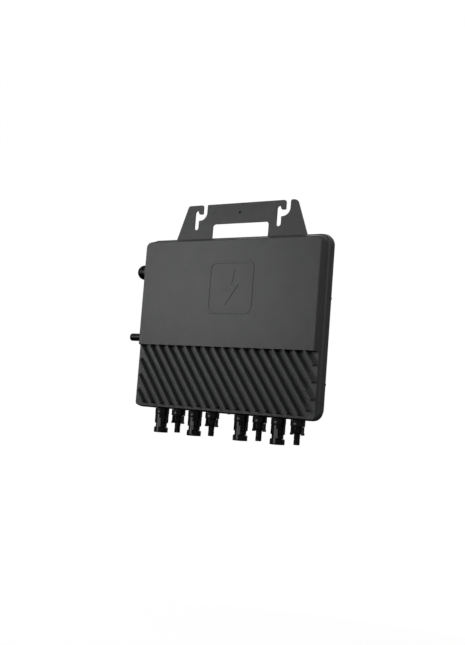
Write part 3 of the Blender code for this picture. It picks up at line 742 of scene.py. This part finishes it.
def boss(name, x):
    """The small raised dot on the front of each connector's collar."""
    dome = [(0.0, -0.0101), (0.0006, -0.01007), (0.0011, -0.00994), (0.0015, -0.0097), (0.0016, -0.0094),
            (0.0016, -0.0087), (0.0, -0.0087)]
    data = turned(name, dome, "y", 24)
    data.transform(Matrix.Rotation(math.radians(SHELL_TURN), 4, "Z"))
    dot = add_object(name, moved(data, (x, CONNECTOR_Y, up(-0.0048))))
    # the dot's pale tone is a painted highlight
    paint_pale_highlight(dot)


def paint_pale_highlight(piece):
    """A smooth part of a connector's moulding, coloured paler as a painted highlight where light glints on
    it.
    """
    shade(piece)
    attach(piece, "case")
    piece.data.materials.clear()
    piece.data.materials.append(highlight_paint_material)


def plug_body(number, x):
    top, tip = COLLAR_TOP, -0.0302
    profile = [
        (0.0023, 0.0110), (0.0043, 0.0110), (NECK_RADIUS, 0.0107), (NECK_RADIUS, top), (0.0091, top),
        (0.0091, -0.0073), (0.0087, -0.0078), (0.0054, -0.0078), (0.0052, -0.0081),
        (0.0052, -0.0150), (0.0049, -0.0158), (0.0040, -0.0166), (0.0038, -0.0172), (0.0038, -0.0225),
        (0.0036, -0.0228), (0.0036, -0.0236), (0.0038, -0.0239), (0.0038, tip + 0.0006),
        (0.0036, tip + 0.0002), (0.0033, tip), (0.0023, tip),
    ]
    body = add_object(f"plug_{number}", turned("plug", profile, "z", 56, 30))
    roots = [polar_box(angle, 0.0046, 0.0064, 0.0011, -0.0125, -0.0070) for angle in (0, 180)]
    combine(body, roots, "UNION")
    body.data.transform(Matrix.Translation((x, CONNECTOR_Y, CASE_BOTTOM)))
    shade(body, 32)
    place_piece(body, f"dc_plug_{number}")
    boss(f"plug_boss_{number}", x)


def latch_arm(number, word, x, side):
    """A springy arm with a round outward barb, on a moving body of its own."""
    middle, top, tip = ARM_OFFSET, up(-0.0080), up(-0.0182)
    outline = [(-0.0009, top), (-0.0009, tip + 0.0008), (-0.0007, tip + 0.0002), (-0.0003, tip)]
    for a in (math.radians(degrees) for degrees in range(-80, 61, 20)):
        outline.append((0.0008 + 0.0010 * math.cos(a), tip + 0.0013 + 0.0013 * math.sin(a)))
    outline += [(0.0010, tip + 0.0032), (0.0009, tip + 0.0040), (0.0009, top)]
    rings = []
    for y, fullness in ((-0.0027, 0.97), (-0.0024, 1.0), (0.0024, 1.0), (0.0027, 0.97)):
        rings.append([(x + side * (middle + u * fullness), CONNECTOR_Y + y, z) for u, z in outline])
    arm = add_object(f"arm_{number}_{word}", loft("arm", rings))
    shade(arm)
    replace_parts(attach(arm, f"latch_{number}_{word}"), f"latch_arm_{number}_{word}")
    paint(arm, "black_plastic")


# ---------------------------------------------------------------- left side fittings
def side_fittings():
    inner_end, side = -0.127, -CASE_HALF
    face = BOSS_END_X - 0.0003
    port = [
        (0.0045, inner_end), (PORT_NECK_RADIUS, inner_end), (PORT_NECK_RADIUS, face), (0.0088, face),
        (0.0092, face - 0.0003),
        (0.0092, side - 0.0019), (0.0089, side - 0.0022), (0.0064, side - 0.0022), (0.0064, side - 0.0062),
        (0.0045, side - 0.0062),
    ]
    piece = add_object("port", moved(turned("port", port, "x", 64), (0, PORT_Y, up(PORT_Z))))
    shade(piece)
    place_piece(piece, "ac_port")

    radius, middle = 0.0100, -0.1447
    dome = [(radius * math.cos(math.radians(a)), middle - radius * math.sin(math.radians(a)))
            for a in range(0, 88, 6)]
    lip = side - 0.0025
    cap = [(0.0096, lip), (0.0100, lip - 0.0003)] + dome + [(0.0, middle - radius), (0.0, side - 0.0066),
                                                           (0.0068, side - 0.0066), (0.0068, lip)]
    piece = add_object("cap", moved(turned("cap", cap, "x", 72, 30), (0, PORT_Y, up(PORT_Z))))
    shade(piece)
    place_piece(piece, "ac_port_cap")

    radius, end, edge = 0.00515, stub_low.x, 0.0016
    nose = [(radius - edge + edge * math.cos(math.radians(a)), end + edge - edge * math.sin(math.radians(a)))
            for a in range(0, 91, 15)]
    stub = [(0.0, inner_end), (STUB_NECK_RADIUS, inner_end), (STUB_NECK_RADIUS, face),
            (radius - 0.0002, face), (radius, face - 0.0002)]
    stub += nose + [(0.0, end)]
    piece = add_object("stub", moved(turned("stub", stub, "x", 64, 30), (0, PORT_Y, up(STUB_Z))))
    shade(piece)
    place_piece(piece, "antenna_stub")


# ---------------------------------------------------------------- rear cover and screws
def rear_cover():
    front = cover_low.y
    half = cover_high.x
    low, high = 0.0010, 0.2285
    rim_back = front + 0.0017
    edge = ((0.0002, front), (0.0, front + 0.0002), (0.0, rim_back - 0.0003), (0.0003, rim_back))
    rim = [rounded_outline(-half + inset, half - inset, up(low + inset), up(high - inset), 0.0138 - inset, y)
           for inset, y in edge]
    cover = add_object("cover", loft("cover", rim))

    def pan(y, inset, radius):
        return rounded_outline(-0.126 + inset, 0.126 - inset, up(0.013 + inset), up(0.209 - inset), radius, y)

    flare = [(rim_back - 0.0006, -0.0012), (rim_back + 0.0001, -0.0008), (rim_back + 0.0007, -0.0001)]
    wall = [(rim_back + 0.0016, 0.0005), (0.0080, 0.0026), (0.0097, 0.0034), (0.0109, 0.0046),
            (0.0117, 0.0062), (cover_high.y, 0.0080)]
    outside = [pan(y, inset, 0.010) for y, inset in flare + wall]
    inside = [pan(front - 0.001, 0.0018, 0.009), pan(0.0085, 0.0048, 0.008), pan(0.0102, 0.0068, 0.007)]
    combine(cover, [loft("pan_outside", outside)], "UNION")
    combine(cover, [loft("pan_inside", inside)])
    combine(cover, [moved(rod(COVER_SCREW_RADIUS, -0.006, 0.0, "y", 24), (x, 0, z)) for x, z in screw_places])
    shade(cover)
    place_piece(cover, "rear_cover")


def screws():
    for name in [n for n in frame["nodes"] if "screw" in n]:
        low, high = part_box(name)
        x, z = (low.x + high.x) / 2, (low.z + high.z) / 2
        seat, top = high.y - 0.0023, high.y
        profile = [(0.0, low.y), (0.0012, low.y), (0.0016, low.y + 0.0005), (0.0016, seat), (0.0034, seat),
                   (0.0036, seat + 0.0002), (0.0036, seat + 0.0010), (0.0034, seat + 0.0016),
                   (0.0029, seat + 0.0020), (0.0020, top - 0.0001), (0.0, top)]
        head = add_object(name + "_visual", turned("screw", profile, "y", 40, 30))
        for turn in (20, 110):
            corners = [(-0.0018, -0.0004), (0.0018, -0.0004), (0.0018, 0.0004), (-0.0018, 0.0004)]
            blade = loft("blade", [[(u, y, v) for u, v in corners] for y in (top - 0.0014, top + 0.001)])
            blade.transform(Matrix.Rotation(math.radians(turn), 4, "Y"))
            combine(head, [blade])
        head.data.transform(Matrix.Translation((x, 0, z)))
        shade(head)
        place_piece(head, name)


# ---------------------------------------------------------------- put together
def paint(obj, slot):
    obj.data.materials.clear()
    obj.data.materials.append(materials[slot])


def place_piece(obj, node):
    """Puts a detailed piece on the case in the place of a CAD node, in that node's material."""
    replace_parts(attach(obj, "case"), node)
    paint(obj, slot_of[node])


materials = {
    "case_paint": powder_coat("case_powder_coat", (0.040, 0.041, 0.0425), (0.050, 0.051, 0.0525)),
    "bracket_paint": powder_coat("bracket_powder_coat", (0.036, 0.037, 0.0385), (0.045, 0.046, 0.0475), 0.5),
    "black_plastic": moulded_plastic("black_moulding", (0.0026, 0.0026, 0.0029), (0.0050, 0.0050, 0.0055),
                                     0.24, 0.32),
    "rubber": moulded_plastic("seal_rubber", (0.011, 0.011, 0.011), (0.019, 0.019, 0.019), 0.75),
    "plated_contact": metal("tin_plate", (0.62, 0.60, 0.56), (0.78, 0.76, 0.72), 0.28),
    "screw_steel": metal("blackened_steel", (0.07, 0.07, 0.074), (0.13, 0.13, 0.135), 0.38),
    "board_green": moulded_plastic("board_lacquer", (0.018, 0.11, 0.045), (0.04, 0.20, 0.09), 0.42),
    "ferrite": moulded_plastic("sintered_ferrite", (0.05, 0.05, 0.054), (0.09, 0.09, 0.096), 0.6),
    "winding": metal("enamelled_copper", (0.42, 0.17, 0.05), (0.66, 0.30, 0.10), 0.34, 1500.0),
    "capacitor_film": moulded_plastic("film_case", (0.08, 0.105, 0.27), (0.13, 0.16, 0.38), 0.4),
    "lens": clear_lens(),
}
# Paler moulding for the connectors' tongues, ribs and dots: a painted highlight standing in for the light
# they catch.
highlight_paint_material = moulded_plastic("highlight_painted_moulding", (0.10, 0.10, 0.104), (0.17, 0.17, 0.175), 0.3)
slot_of = {entry["node"]: entry["material_slot"] for entry in frame["record"]["subparts"]}

add_camera()
add_lights()
add_stage()
for name, obj in frame["nodes"].items():
    obj.data.materials.clear()
    obj.data.materials.append(materials[slot_of[name]])
housing()
emblem()
bracket()
for i, x in enumerate(connector_places):
    number = i // 2 + 1
    if i % 2 == 0:
        socket_shell(number, x)
    else:
        plug_body(number, x)
        latch_arm(number, "left", x, -1)
        latch_arm(number, "right", x, 1)
side_fittings()
rear_cover()
screws()
